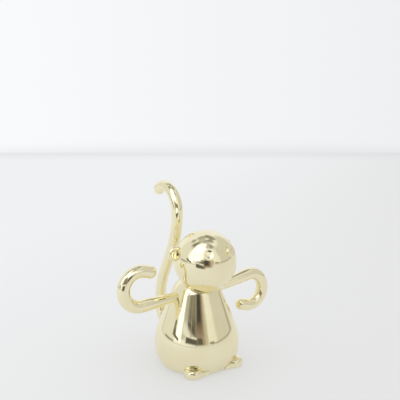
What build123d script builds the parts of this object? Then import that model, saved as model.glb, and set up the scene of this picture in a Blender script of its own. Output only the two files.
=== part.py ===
from build123d import *
import math
import os

# Monkey ring stand in polished metal: a bell body, a ball head, two hooked arms and a hooked tail.
# Lengths are millimetres and angles degrees. +Z is up, the face looks along -Y, +X is the
# monkey's left, and the origin is the middle of the standing face.

# Fits
SLIDE_FIT = 0.05  # radial room round a peg, spigot or screw
SEAT_GAP = 0.05  # room behind a piece that hugs a curved face
BORE_END_GAP = 0.3  # room past the end of a peg or spigot
OVERRUN = 2.0  # length by which a cut runs past its face

# Body bell: an arc up from the rim, an arc over the belly, a cone and a round top
BODY_R = 20.0
BULGE_Z = 9.5  # height of the widest place
RIM_TUCK = 3.0  # draw-in of the rim under the belly
RIM_Z = 0.4
BELLY_CURVE_R = 25.0
DOME_R = 12.4
DOME_Z = 30.4  # centre of the round top
BODY_WALL = 2.0
CROWN_DEPTH = 4.4  # solid metal below the centre of the round top

# Head seat: a flat cut through the round top, tilted forward
HEAD_TILT = 19.0
SEAT_R = 8.3
SEAT_ROUND = 0.5

# Head
HEAD_R = 14.25
HEAD_SINK = 2.43  # depth of the ball's flat facet
HEAD_WALL = 2.0
HEAD_BOSS_R = 3.6
HEAD_BOSS_H = 7.5

# Eyes, placed by azimuth from the front and elevation above level
EYE_AZIMUTH = 27.0
EYE_ELEVATION = 26.0
EYE_R = 2.7
EYE_RISE = 0.75
EYE_SINK = 0.8
EYE_ROUND = 0.3
EYE_LAND = 0.5  # flat ring between the dish and the rounded edge
EYE_DISH_DEPTH = 0.4
EYE_PEG_R = 0.8
EYE_PEG_L = 2.0

# Ears, placed round the head by elevation above level
EAR_ELEVATION = 18.7
EAR_PROUD = 0.1  # centre of the ear past the head's radius
EAR_BACK = 2.75  # front face behind the centre of the head
EAR_R = 3.4
EAR_T = 2.4
EAR_EDGE = 0.6  # straight part of the edge, between its two rounds
EAR_LAND = 0.1  # flat ring between the dish and the rounded edge
EAR_DISH_DEPTH = 0.55
EAR_PEG_R = 0.9
EAR_PEG_DEPTH = 2.75  # inwards from the head's skin

# Arms: a tapered upper arm, tangent to a round hook, with a short straight tip
SHOULDER_RISE = 3.1  # above the centre of the round top
SHOULDER_SINK = 2.0  # start of the arm inside the skin
UPPER_ARM_R = 2.15
HOOK_ROD_R = 2.95
HOOK_R = 8.0
HOOK_OVERTURN = 15.0  # turn of the tip past level
HOOK_TIP_L = 3.2
RIGHT_HOOK_REACH = 20.0  # from the shoulder out to the centre of the hook
RIGHT_HOOK_RISE = 7.0
LEFT_HOOK_REACH = 21.3
LEFT_HOOK_DROP = 4.1
ARM_SPIGOT_R = 1.6
ARM_SPIGOT_L = 3.4  # inwards from the start of the arm

# Tail: an S in the middle plane, with a hook at the top
TAIL_ROD_R = 2.75
TAIL_ROOT_Z = 6.3
TAIL_ROOT_L = 1.55  # level run from the body's skin to the first bend
TAIL_ROOT_BEND_R = 13.0
TAIL_LOW_BEND_R = 34.0
TAIL_LEAN = 29.0
TAIL_RUN = 16.5
TAIL_HIGH_BEND_R = 38.0
TAIL_HOOK_R = 12.0
TAIL_HOOK_TURN = 90.0
TAIL_TIP_BEND_R = 6.0
TAIL_TIP_TURN = 55.0
TAIL_SPIGOT_R = 1.5
TAIL_BOSS_R = 3.6
TAIL_BOSS_L = 4.4  # inwards from the body's skin

# Tail nut
NUT_FLATS = 5.5
NUT_T = 2.4
NUT_THREAD_PROUD = 0.6  # thread that shows past the nut

# Feet: a broad round heel and a big toe on its inner side, joined by a lower web
FOOT_ANGLE = 38.5  # from the front
FOOT_PROUD = 0.9  # centre of the heel past the rim
FOOT_R = 4.3
FOOT_H = 4.3
FOOT_CROWN_R = 9.0
FOOT_ROUND = 1.7
TOE_HEADING = 19.0  # turned forward from straight across
TOE_STEP = 5.75  # from the centre of the heel to the centre of the toe
TOE_R = 1.9
TOE_H = 3.1
TOE_CROWN_R = 3.0
TOE_ROUND = 0.9
WEB_INSET = 0.3  # from the sides of the heel and toe
WEB_H = 2.4
WEB_ROUND = 0.8
FOOT_PEG_R = 0.8
FOOT_PEG_L = 1.5

# Base plate, its pad and its screws
PAD_INSET = 1.4
PAD_T = 1.0
PLATE_INSET = 1.8  # width of the rim round the plate
PLATE_T = 2.0
COLUMN_R = 2.6
COLUMN_INSET = 5.2  # from the edge of the plate
COLUMN_COUNT = 3
COLUMN_FIRST_ANGLE = -90.0
BASE_SCREW_R = 1.25
BASE_SCREW_HEAD_R = 2.3
BASE_SCREW_HEAD_H = 1.2
BASE_SCREW_L = 8.0

# Head screw and washer
HEAD_SCREW_R = 1.5
HEAD_SCREW_HEAD_R = 2.75
HEAD_SCREW_HEAD_H = 2.0
HEAD_SCREW_GRIP = 6.0  # metal between the washer and the seat
HEAD_SCREW_BITE = 6.0  # thread in the head
HEAD_SCREW_PLAY = 0.2  # radial room in the body
WASHER_R = 3.3
WASHER_T = 0.6
WASHER_PLAY = 0.3  # radial room round the washer

# Worked-out places
RIGHT = -1
LEFT = 1
HOOK_PLACES = {
    RIGHT: (RIGHT_HOOK_REACH, RIGHT_HOOK_RISE),
    LEFT: (LEFT_HOOK_REACH, -LEFT_HOOK_DROP),
}
HOOK_CURLS = {RIGHT: 1, LEFT: -1}  # 1 curls up, -1 curls down
BASE_R = BODY_R - RIM_TUCK
RIM_DROP = BULGE_Z - RIM_Z
RIM_CURVE_R = (RIM_TUCK**2 + RIM_DROP**2) / (2 * RIM_TUCK)
BELLY_TO_DOME = Vector(BELLY_CURVE_R - BODY_R, DOME_Z - BULGE_Z)
TANGENT_ANGLE = math.degrees(math.acos((BELLY_CURVE_R - DOME_R) / BELLY_TO_DOME.length))
CONE_ANGLE = math.degrees(math.atan2(BELLY_TO_DOME.Y, BELLY_TO_DOME.X)) - TANGENT_ANGLE
CAVITY_TOP = DOME_Z - CROWN_DEPTH
SHOULDER_OUT = math.sqrt(DOME_R**2 - SHOULDER_RISE**2) - SHOULDER_SINK
SHOULDER_Z = DOME_Z + SHOULDER_RISE
PLATE_R = BASE_R - PLATE_INSET
PLATE_TOP = PAD_T + PLATE_T
PAD_R = PLATE_R - PAD_INSET
EYE_DISH_R = EYE_R - EYE_ROUND - EYE_LAND
EAR_ROUND = (EAR_T - EAR_EDGE) / 2
EAR_DISH_R = EAR_R - EAR_ROUND - EAR_LAND
TAIL_SPIGOT_L = TAIL_BOSS_L + NUT_T + NUT_THREAD_PROUD
FOOT_PEG_Z = (RIM_Z + FOOT_H) / 2
HEAD_AXIS = Vector(0, -math.sin(math.radians(HEAD_TILT)), math.cos(math.radians(HEAD_TILT)))
SEAT_RISE = math.sqrt(DOME_R**2 - SEAT_R**2)
SEAT = Plane(Vector(0, 0, DOME_Z) + HEAD_AXIS * SEAT_RISE, x_dir=(1, 0, 0), z_dir=HEAD_AXIS)
HEAD_CENTRE = SEAT.origin + HEAD_AXIS * (HEAD_R - HEAD_SINK)
UPRIGHT = (Align.CENTER, Align.CENTER, Align.MIN)
HANGING = (Align.CENTER, Align.CENTER, Align.MAX)


def rod(radius, start, heading, length):
    """Cylinder of a given length from a start point along a heading."""
    return Plane(start, z_dir=heading) * Cylinder(radius, length, align=UPRIGHT)


def cap(radius, end, heading):
    """Half ball that rounds off the end of a rod."""
    return Plane(end, z_dir=heading) * Sphere(radius, arc_size1=0, align=UPRIGHT)


def round_top(block, radius):
    """Block with the edge of its top face rounded."""
    return fillet(block.edges().group_by(Axis.Z)[-1], radius)


def crowned(radius, height, crown_r, edge_round):
    """Round lump on the plane z = 0, with a crowned top and a rounded edge."""
    block = Cylinder(radius, height, align=UPRIGHT) & Pos(0, 0, height - crown_r) * Sphere(crown_r)
    shoulder = block.edges().filter_by(lambda edge: edge.is_closed).sort_by(Axis.Z)[-1]
    return fillet(shoulder, edge_round)


def dish(mouth_r, depth):
    """Ball whose cut leaves a dish of this mouth and depth in the plane z = 0."""
    ball_r = (mouth_r**2 + depth**2) / (2 * depth)
    return Pos(0, 0, ball_r - depth) * Sphere(ball_r)


def skin_radius(z):
    """Outer radius of the body at a height below its widest place."""
    return BODY_R - RIM_CURVE_R + math.sqrt(RIM_CURVE_R**2 - (z - BULGE_Z) ** 2)


def bell(grow):
    """Solid body of revolution, with its skin moved outwards by a distance."""
    rim_curve_r = RIM_CURVE_R + grow
    rim_angle = math.degrees(math.asin(RIM_DROP / rim_curve_r))
    rim = CenterArc((BODY_R - RIM_CURVE_R, BULGE_Z), rim_curve_r, -rim_angle, rim_angle)
    belly = CenterArc((BODY_R - BELLY_CURVE_R, BULGE_Z), BELLY_CURVE_R + grow, 0, CONE_ANGLE)
    dome = CenterArc((0, DOME_Z), DOME_R + grow, CONE_ANGLE, 90 - CONE_ANGLE)
    cone = Line(belly @ 1, dome @ 0)
    axis = Line(dome @ 1, (0, RIM_Z))
    floor = Line((0, RIM_Z), rim @ 0)
    outline = make_face([floor, rim, belly, cone, dome, axis])
    return revolve(Plane.XZ * outline, Axis.Z)


def column_places():
    """Locations of the three columns round the body axis."""
    return PolarLocations(PLATE_R - COLUMN_INSET, COLUMN_COUNT, start_angle=COLUMN_FIRST_ANGLE).locations


def eye_plane(side):
    """Plane that touches the head where an eye sits, facing outwards."""
    azimuth = math.radians(EYE_AZIMUTH)
    level = math.cos(math.radians(EYE_ELEVATION))
    up = math.sin(math.radians(EYE_ELEVATION))
    facing = Vector(side * math.sin(azimuth) * level, -math.cos(azimuth) * level, up)
    return Plane(HEAD_CENTRE + facing * HEAD_R, z_dir=facing)


def ear_plane(side):
    """Plane of an ear's front face, facing forward."""
    elevation = math.radians(EAR_ELEVATION)
    outwards = Vector(side * math.cos(elevation), 0, math.sin(elevation)) * (HEAD_R + EAR_PROUD)
    return Plane(HEAD_CENTRE + outwards + Vector(0, EAR_BACK, 0), x_dir=(1, 0, 0), z_dir=(0, -1, 0))


def ear_peg(side, radius, extra):
    """Peg from the middle of an ear towards the centre of the head, or the bore for it."""
    start = ear_plane(side).origin + Vector(0, EAR_T / 2, 0)
    inwards = HEAD_CENTRE - start
    return rod(radius, start, inwards, inwards.length - HEAD_R + EAR_PEG_DEPTH + extra)


def arm_axis(side):
    """Start, outward heading and length of a straight upper arm that runs into its hook."""
    across, rise = HOOK_PLACES[side]
    reach = math.hypot(across, rise)
    heading = math.atan2(rise, across) - HOOK_CURLS[side] * math.asin(HOOK_R / reach)
    start = Vector(side * SHOULDER_OUT, 0, SHOULDER_Z)
    return start, Vector(side * math.cos(heading), 0, math.sin(heading)), math.sqrt(reach**2 - HOOK_R**2)


def foot_heading(side):
    """Level heading from the body axis to a foot."""
    angle = math.radians(FOOT_ANGLE)
    return Vector(side * math.sin(angle), -math.cos(angle), 0)


def foot_peg(side, radius, extra):
    """Level peg from a foot into the body wall, or the bore for it."""
    heading = foot_heading(side)
    inner = skin_radius(FOOT_PEG_Z) - FOOT_PEG_L - extra
    start = heading * inner + Vector(0, 0, FOOT_PEG_Z)
    return rod(radius, start, heading, FOOT_PEG_L + extra + FOOT_R / 2)


def tail_root(radius, inwards):
    """Level rod at the tail's root, from a depth inside the skin out to the first bend."""
    start = (0, skin_radius(TAIL_ROOT_Z) - inwards, TAIL_ROOT_Z)
    return rod(radius, start, (0, 1, 0), inwards + TAIL_ROOT_L)


def countersunk(grow):
    """Countersunk screw from the plate's lower face upwards, or the room for it."""
    head = Cone(BASE_SCREW_HEAD_R + grow, BASE_SCREW_R + grow, BASE_SCREW_HEAD_H, align=UPRIGHT)
    return head + Cylinder(BASE_SCREW_R + grow, BASE_SCREW_L, align=UPRIGHT)


def body_blank():
    """Bell with the tilted seat cut through its top and the seat's rim rounded."""
    blank = bell(0) - SEAT * Cylinder(DOME_R, DOME_R, align=UPRIGHT)
    rims = blank.edges().filter_by(GeomType.CIRCLE)
    rim = min(rims, key=lambda edge: (edge.arc_center - SEAT.origin).length)
    return fillet(rim, SEAT_ROUND)


def neck_bore():
    """Room for the head screw: a hole through the seat, and a pocket up from the cavity."""
    hole = SEAT * Cylinder(HEAD_SCREW_R + HEAD_SCREW_PLAY, HEAD_SCREW_GRIP + OVERRUN, align=HANGING)
    pocket_l = SEAT.origin.Z - CAVITY_TOP + DOME_R
    pocket = SEAT.offset(-HEAD_SCREW_GRIP) * Cylinder(WASHER_R + WASHER_PLAY, pocket_l, align=HANGING)
    return hole + (pocket - Cylinder(BODY_R, CAVITY_TOP - OVERRUN, align=UPRIGHT))


def make_body_shell():
    """Hollow body, with columns for the base screws and bores for everything that plugs in."""
    shell = body_blank() - (bell(-BODY_WALL) & Cylinder(BODY_R, CAVITY_TOP, align=UPRIGHT))
    within_wall = bell(-BODY_WALL / 2)
    shell += tail_root(TAIL_BOSS_R, TAIL_BOSS_L) & within_wall
    for place in column_places():
        shell += place * Cylinder(COLUMN_R, CAVITY_TOP, align=UPRIGHT) & within_wall
    shell -= Cylinder(PLATE_R + SLIDE_FIT, PLATE_TOP, align=UPRIGHT)
    for place in column_places():
        bore_l = PAD_T + BASE_SCREW_L + BORE_END_GAP
        shell -= place * Cylinder(BASE_SCREW_R + SLIDE_FIT, bore_l, align=UPRIGHT)
    for side in (RIGHT, LEFT):
        start, heading, run = arm_axis(side)
        depth = ARM_SPIGOT_L + BORE_END_GAP
        shell -= rod(ARM_SPIGOT_R + SLIDE_FIT, start - heading * depth, heading, depth + run)
        shell -= foot_peg(side, FOOT_PEG_R + SLIDE_FIT, BORE_END_GAP)
    shell -= tail_root(TAIL_SPIGOT_R + SLIDE_FIT, TAIL_BOSS_L + OVERRUN)
    return shell - neck_bore()


def make_head_shell():
    """Hollow ball with a flat facet on the seat, a screw boss and sockets for the eyes and ears."""
    below_seat = Cylinder(HEAD_R, HEAD_R, align=HANGING)
    ball = Pos(HEAD_CENTRE) * Sphere(HEAD_R) - SEAT * below_seat
    hollow = Pos(HEAD_CENTRE) * Sphere(HEAD_R - HEAD_WALL) - SEAT.offset(HEAD_WALL) * below_seat
    head = ball - hollow + SEAT * Cylinder(HEAD_BOSS_R, HEAD_BOSS_H, align=UPRIGHT)
    head -= SEAT * Cylinder(HEAD_SCREW_R + SLIDE_FIT, HEAD_BOSS_H, align=UPRIGHT)
    for side in (RIGHT, LEFT):
        pocket = eye_plane(side).offset(-EYE_SINK)
        head -= pocket * Cylinder(EYE_R + SLIDE_FIT, EYE_SINK + OVERRUN, align=UPRIGHT)
        head -= pocket * Cylinder(EYE_PEG_R + SLIDE_FIT, EYE_PEG_L + OVERRUN, align=HANGING)
        head -= ear_peg(side, EAR_PEG_R + SLIDE_FIT, OVERRUN)
    return head


def make_eye(side):
    """Round button with a raised rim and a dished middle, on a peg."""
    button = Cylinder(EYE_R, EYE_SINK + EYE_RISE, align=HANGING)
    button = round_top(button, EYE_ROUND) - dish(EYE_DISH_R, EYE_DISH_DEPTH)
    peg = Pos(0, 0, -EYE_SINK - EYE_RISE) * Cylinder(EYE_PEG_R, EYE_PEG_L, align=HANGING)
    return eye_plane(side).offset(EYE_RISE) * (button + peg)


def make_ear(side):
    """Round disc with soft edges and a dished front, shaped to the head and pegged into it."""
    hollow = dish(EAR_DISH_R, EAR_DISH_DEPTH)
    disc = Cylinder(EAR_R, EAR_T, align=HANGING)
    disc = fillet(disc.edges().filter_by(GeomType.CIRCLE), EAR_ROUND) - hollow
    flap = ear_plane(side) * disc - Pos(HEAD_CENTRE) * Sphere(HEAD_R + SEAT_GAP)
    return flap + (ear_peg(side, EAR_PEG_R, 0) - ear_plane(side) * hollow)


def make_arm(side):
    """Tapered upper arm, round hook with a straight tip, and a spigot for the shoulder."""
    start, heading, run = arm_axis(side)
    upper = Plane(start, z_dir=heading) * Cone(UPPER_ARM_R, HOOK_ROD_R, run, align=UPRIGHT)
    level = math.degrees(math.atan2(heading.Z, side * heading.X))
    turn = side * (HOOK_CURLS[side] * (180 + HOOK_OVERTURN) - level)
    wrist = start + heading * run
    bend = JernArc((wrist.X, wrist.Z), (heading.X, heading.Z), HOOK_R, turn)
    tip = Line(bend @ 1, bend @ 1 + (bend % 1) * HOOK_TIP_L)
    path = Plane.XZ * Wire([bend, tip])
    hook = sweep(Plane(path @ 0, z_dir=path % 0) * Circle(HOOK_ROD_R), path)
    limb = upper + hook + cap(HOOK_ROD_R, path @ 1, path % 1) - bell(SEAT_GAP)
    return limb + rod(ARM_SPIGOT_R, start - heading * ARM_SPIGOT_L, heading, ARM_SPIGOT_L + run / 2)


def make_tail():
    """Bent rod from the low back of the body up to a hook behind the head."""
    start = (skin_radius(TAIL_ROOT_Z) + TAIL_ROOT_L, TAIL_ROOT_Z)
    root = JernArc(start, (1, 0), TAIL_ROOT_BEND_R, 90)
    low = JernArc(root @ 1, root % 1, TAIL_LOW_BEND_R, TAIL_LEAN)
    run = Line(low @ 1, low @ 1 + (low % 1) * TAIL_RUN)
    high = JernArc(run @ 1, run % 1, TAIL_HIGH_BEND_R, -TAIL_LEAN)
    hook = JernArc(high @ 1, high % 1, TAIL_HOOK_R, -TAIL_HOOK_TURN)
    tip = JernArc(hook @ 1, hook % 1, TAIL_TIP_BEND_R, -TAIL_TIP_TURN)
    path = Plane.YZ * Wire([root, low, run, high, hook, tip])
    limb = sweep(Plane(path @ 0, z_dir=path % 0) * Circle(TAIL_ROD_R), path)
    limb += cap(TAIL_ROD_R, path @ 1, path % 1)
    limb += tail_root(TAIL_ROD_R, TAIL_ROD_R)
    return limb - bell(SEAT_GAP) + tail_root(TAIL_SPIGOT_R, TAIL_SPIGOT_L)


def make_tail_nut():
    """Hexagon nut on the tail's threaded end, against the boss inside the body."""
    face_y = skin_radius(TAIL_ROOT_Z) - TAIL_BOSS_L
    hexagon = RegularPolygon(NUT_FLATS / 2, 6, major_radius=False, rotation=90)
    nut = extrude(hexagon - Circle(TAIL_SPIGOT_R + SLIDE_FIT), NUT_T)
    return Plane((0, face_y, TAIL_ROOT_Z), x_dir=(0, 0, 1), z_dir=(0, -1, 0)) * nut


def make_foot(side):
    """Low foot with a big toe on its inner side, shaped to the body and pegged into it."""
    turned = math.radians(TOE_HEADING)
    toe_step = Vector(-side * math.cos(turned), -math.sin(turned), 0) * TOE_STEP
    heel = crowned(FOOT_R, FOOT_H - RIM_Z, FOOT_CROWN_R, FOOT_ROUND)
    toe = crowned(TOE_R, TOE_H - RIM_Z, TOE_CROWN_R, TOE_ROUND)
    heel_side = CenterArc((0, 0), FOOT_R - WEB_INSET, 0, 360)
    toe_side = CenterArc(toe_step, TOE_R - WEB_INSET, 0, 360)
    web = round_top(extrude(make_hull([heel_side, toe_side]), WEB_H - RIM_Z), WEB_ROUND)
    block = heel + web + Pos(toe_step) * toe
    middle = foot_heading(side) * (BASE_R + FOOT_PROUD) + Vector(0, 0, RIM_Z)
    return Pos(middle) * block - bell(SEAT_GAP) + foot_peg(side, FOOT_PEG_R, 0)


def make_base_plate():
    """Disc that closes the body, with three countersunk holes."""
    plate = Pos(0, 0, PAD_T) * Cylinder(PLATE_R, PLATE_T, align=UPRIGHT)
    for place in column_places():
        plate -= place * Pos(0, 0, PAD_T) * countersunk(SLIDE_FIT)
    return plate


def make_base_screws():
    """Three countersunk screws, flush with the lower face of the plate."""
    return Compound(children=[place * Pos(0, 0, PAD_T) * countersunk(0) for place in column_places()])


def make_base_pad():
    """Soft disc under the plate."""
    return Cylinder(PAD_R, PAD_T, align=UPRIGHT)


def make_head_washer():
    """Flat washer between the head screw and the body."""
    disc = Cylinder(WASHER_R, WASHER_T, align=HANGING)
    hole = Cylinder(HEAD_SCREW_R + HEAD_SCREW_PLAY, WASHER_T, align=HANGING)
    return SEAT.offset(-HEAD_SCREW_GRIP) * (disc - hole)


def make_head_screw():
    """Screw from inside the body, through the seat and into the head's boss."""
    under_head = SEAT.offset(-HEAD_SCREW_GRIP - WASHER_T)
    head = Cylinder(HEAD_SCREW_HEAD_R, HEAD_SCREW_HEAD_H, align=HANGING)
    shank = Cylinder(HEAD_SCREW_R, WASHER_T + HEAD_SCREW_GRIP + HEAD_SCREW_BITE, align=UPRIGHT)
    return under_head * (head + shank)


PIECES = {
    "body_shell": make_body_shell(),
    "head_shell": make_head_shell(),
    "right_eye": make_eye(RIGHT),
    "left_eye": make_eye(LEFT),
    "right_ear": make_ear(RIGHT),
    "left_ear": make_ear(LEFT),
    "right_arm": make_arm(RIGHT),
    "left_arm": make_arm(LEFT),
    "tail": make_tail(),
    "tail_nut": make_tail_nut(),
    "right_foot": make_foot(RIGHT),
    "left_foot": make_foot(LEFT),
    "base_plate": make_base_plate(),
    "base_screws": make_base_screws(),
    "base_pad": make_base_pad(),
    "head_washer": make_head_washer(),
    "head_screw": make_head_screw(),
}

os.makedirs("parts", exist_ok=True)
for name, piece in PIECES.items():
    export_step(piece, f"parts/{name}.step")
    print(f"{name}: {piece.volume:.1f} mm3, {len(piece.solids())} solid(s)")
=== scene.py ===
"""Looks of the monkey figurine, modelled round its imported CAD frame.

Lengths are metres. Angles are radians unless a name says degrees. The face looks along -Y,
+X is the monkey's left, and the origin is the middle of the standing face.
"""

import logging
import math
from dataclasses import dataclass
from enum import Enum

import bpy
from mathutils import Matrix, Vector


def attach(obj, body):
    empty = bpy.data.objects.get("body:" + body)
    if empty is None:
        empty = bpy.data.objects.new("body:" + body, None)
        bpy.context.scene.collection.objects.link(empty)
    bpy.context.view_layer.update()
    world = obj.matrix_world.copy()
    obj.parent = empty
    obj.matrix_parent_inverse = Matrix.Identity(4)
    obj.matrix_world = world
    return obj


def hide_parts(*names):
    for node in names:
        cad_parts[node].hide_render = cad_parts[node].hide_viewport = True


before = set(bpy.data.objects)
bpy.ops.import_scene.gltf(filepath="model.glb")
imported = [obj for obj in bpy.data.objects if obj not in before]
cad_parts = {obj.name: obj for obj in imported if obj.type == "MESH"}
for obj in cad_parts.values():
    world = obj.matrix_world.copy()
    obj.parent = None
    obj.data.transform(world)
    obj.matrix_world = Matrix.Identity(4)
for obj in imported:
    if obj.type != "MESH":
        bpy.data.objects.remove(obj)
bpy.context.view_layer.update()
LOG = logging.getLogger("monkey_figurine")

Triple = tuple[float, float, float]
Colour = Triple
Span = tuple[float, float]  # a range from low to high
Row = tuple[float, float]  # radius and height of a point in a turned profile
Piece = bpy.types.Object
Material = bpy.types.Material
Socket = bpy.types.NodeSocket

UP = Vector((0.0, 0.0, 1.0))
QUARTER = math.radians(90.0)
ONLY_BODY = "root"
OPERATOR_TURN = -1.0  # spin and rotate turn the other way with no window
SMOOTH_ANGLE = math.radians(38.0)
FIT_GAP = 0.00005  # room between a piece and the curved face that it hugs


class Slot(Enum):
    """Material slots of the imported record."""

    GOLD = "polished_gold"
    FASTENER = "fastener_steel"
    PLATE = "plate_steel"
    FELT = "pad_felt"


class Side(Enum):
    """The monkey's own sides, as the sign of X."""

    RIGHT = -1
    LEFT = 1

    @property
    def label(self) -> str:
        """The side's name as it stands in the names of pieces."""
        return self.name.lower()


class Curl(Enum):
    """Which way an arm's hook turns."""

    UP = 1
    DOWN = -1


class Combine(Enum):
    """What happens to a piece where another closed form meets it."""

    JOIN = "UNION"
    CUT = "DIFFERENCE"


# Materials


COLOUR_MIX_INPUTS = (0, 6, 7)  # factor and two colours among a Mix node's inputs of every type
COLOUR_MIX_OUTPUT = 2


class NodeBoard:
    """Adds and links the shader nodes of one material or world."""

    def __init__(self, tree: bpy.types.NodeTree) -> None:
        """Clears a node tree and keeps it."""
        tree.nodes.clear()
        self.tree = tree

    def add(self, kind: str, inputs: dict | None = None, **settings: object) -> bpy.types.Node:
        """Adds a node, sets its options and fills or links its inputs.

        Args:
            kind: The node's type name without the ShaderNode prefix.
            inputs: Values or sockets by input name or index.
            **settings: Options of the node itself.

        Returns:
            The new node.
        """
        node = self.tree.nodes.new("ShaderNode" + kind)
        for option, value in settings.items():
            setattr(node, option, value)
        for key, value in (inputs or {}).items():
            self.fill(node, key, value)
        return node

    def fill(self, node: bpy.types.Node, key: str | int, value: object) -> None:
        """Links a socket to a node's input, or else sets the input's value."""
        if isinstance(value, Socket):
            self.tree.links.new(value, node.inputs[key])
        else:
            node.inputs[key].default_value = value

    def math(self, operation: str, *terms: object) -> Socket:
        """Adds a Math node and returns its output."""
        return self.add("Math", dict(enumerate(terms)), operation=operation).outputs[0]

    def spread(self, value: Socket, span: Span, low: float = 0.0, high: float = 1.0) -> Socket:
        """Adds a smooth step from low to high, as the value crosses a span, and returns its output."""
        sizes = {"Value": value, "From Min": span[0], "From Max": span[1], "To Min": low, "To Max": high}
        return self.add("MapRange", sizes, interpolation_type="SMOOTHSTEP").outputs["Result"]

    def mix(self, factor: object, first: object, second: object) -> Socket:
        """Adds a colour Mix node and returns its output.

        Args:
            factor: 0 gives the first colour and 1 the second.
            first: A colour or socket.
            second: A colour or socket.

        Returns:
            The mixed colour socket.
        """
        node = self.add("Mix", data_type="RGBA")
        for key, value in zip(COLOUR_MIX_INPUTS, (factor, first, second)):
            self.fill(node, key, (*value, 1.0) if isinstance(value, tuple) else value)
        return node.outputs[COLOUR_MIX_OUTPUT]

    def noise(self, place: Socket, scale: float, detail: float = 2.0) -> Socket:
        """Adds a Noise texture on a coordinate and returns its value."""
        sizes = {"Vector": place, "Scale": scale, "Detail": detail}
        return self.add("TexNoise", sizes).outputs[0]

    def stretched(self, place: Socket, scale: Triple) -> Socket:
        """Adds a Mapping node that scales a coordinate and returns its output."""
        return self.add("Mapping", {"Vector": place, "Scale": scale}).outputs[0]

    def show(self, shader: bpy.types.Node) -> None:
        """Makes a shader the material's surface."""
        self.add("OutputMaterial", {"Surface": shader.outputs[0]})

    def blend(self, share: Socket, first: bpy.types.Node, second: bpy.types.Node) -> bpy.types.Node:
        """Adds a Mix Shader node between two shaders and returns it."""
        return self.add("MixShader", {0: share, 1: first.outputs[0], 2: second.outputs[0]})

    def coat(self, relief: Socket, depth: float, looks: dict[str, object]) -> None:
        """Adds a skin with a fine relief and other looks, and makes it the material's surface."""
        bump = self.add("Bump", {"Height": relief, "Strength": 1.0, "Distance": depth})
        self.show(self.add("BsdfPrincipled", {**looks, "Normal": bump.outputs[0]}))


def new_material(name: str) -> tuple[Material, NodeBoard, Socket]:
    """Makes an empty node material.

    Args:
        name: The material's name.

    Returns:
        The material, its node board and the Object coordinate.
    """
    material = bpy.data.materials.new(name)
    material.use_nodes = True
    board = NodeBoard(material.node_tree)
    return material, board, board.add("TexCoord").outputs["Object"]


@dataclass(frozen=True)
class PolishedGold:
    """Pale gold plate on a hand-polished casting, with soft ripples and fine hairlines."""

    pale: Colour = (0.945, 0.878, 0.618)
    deep: Colour = (0.925, 0.848, 0.578)
    tint_scale: float = 90.0
    ripple_scale: float = 150.0
    ripple_height: float = 0.000045
    smooth_roughness: float = 0.035
    hazy_roughness: float = 0.085
    haze_scale: float = 260.0
    hairline_stretch: Triple = (4200.0, 260.0, 900.0)
    hairline_roughness: float = 0.05
    tint_span: Span = (0.35, 0.65)
    haze_span: Span = (0.35, 0.75)
    hairline_span: Span = (0.66, 0.74)

    def make(self) -> Material:
        """Builds the material.

        Returns:
            The material.
        """
        material, board, place = new_material("polished_gold_plate")
        tint = board.spread(board.noise(place, self.tint_scale), self.tint_span)
        haze = board.noise(place, self.haze_scale, detail=4.0)
        roughness = board.spread(haze, self.haze_span, self.smooth_roughness, self.hazy_roughness)
        hairs = board.noise(board.stretched(place, self.hairline_stretch), scale=1.0)
        marks = board.spread(hairs, self.hairline_span, high=self.hairline_roughness)
        board.coat(board.noise(place, self.ripple_scale, detail=1.0), self.ripple_height, {
            "Base Color": board.mix(tint, self.pale, self.deep),
            "Metallic": 1.0,
            "Roughness": board.math("ADD", roughness, marks),
        })
        return material


@dataclass(frozen=True)
class ZincSteel:
    """Zinc plated screw steel, cloudy and slightly blue."""

    bright: Colour = (0.66, 0.68, 0.71)
    cloudy: Colour = (0.52, 0.55, 0.60)
    cloud_scale: float = 420.0
    smooth_roughness: float = 0.22
    cloudy_roughness: float = 0.40
    grain_scale: float = 5200.0
    grain_height: float = 0.000004
    cloud_span: Span = (0.3, 0.7)

    def make(self) -> Material:
        """Builds the material.

        Returns:
            The material.
        """
        material, board, place = new_material("zinc_plated_steel")
        cloud = board.spread(board.noise(place, self.cloud_scale, detail=3.0), self.cloud_span)
        board.coat(board.noise(place, self.grain_scale), self.grain_height, {
            "Base Color": board.mix(cloud, self.bright, self.cloudy),
            "Metallic": 1.0,
            "Roughness": board.spread(cloud, (0.0, 1.0), self.smooth_roughness, self.cloudy_roughness),
        })
        return material


@dataclass(frozen=True)
class BrushedSteel:
    """Stamped steel sheet with brush lines along X."""

    pale: Colour = (0.56, 0.56, 0.58)
    dark: Colour = (0.40, 0.40, 0.42)
    line_stretch: Triple = (90.0, 6500.0, 6500.0)
    low_roughness: float = 0.28
    high_roughness: float = 0.46
    line_height: float = 0.000006
    line_span: Span = (0.3, 0.7)

    def make(self) -> Material:
        """Builds the material.

        Returns:
            The material.
        """
        material, board, place = new_material("brushed_plate_steel")
        lines = board.noise(board.stretched(place, self.line_stretch), scale=1.0, detail=3.0)
        board.coat(lines, self.line_height, {
            "Base Color": board.mix(board.spread(lines, self.line_span), self.dark, self.pale),
            "Metallic": 1.0,
            "Roughness": board.spread(lines, self.line_span, self.low_roughness, self.high_roughness),
        })
        return material


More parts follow.
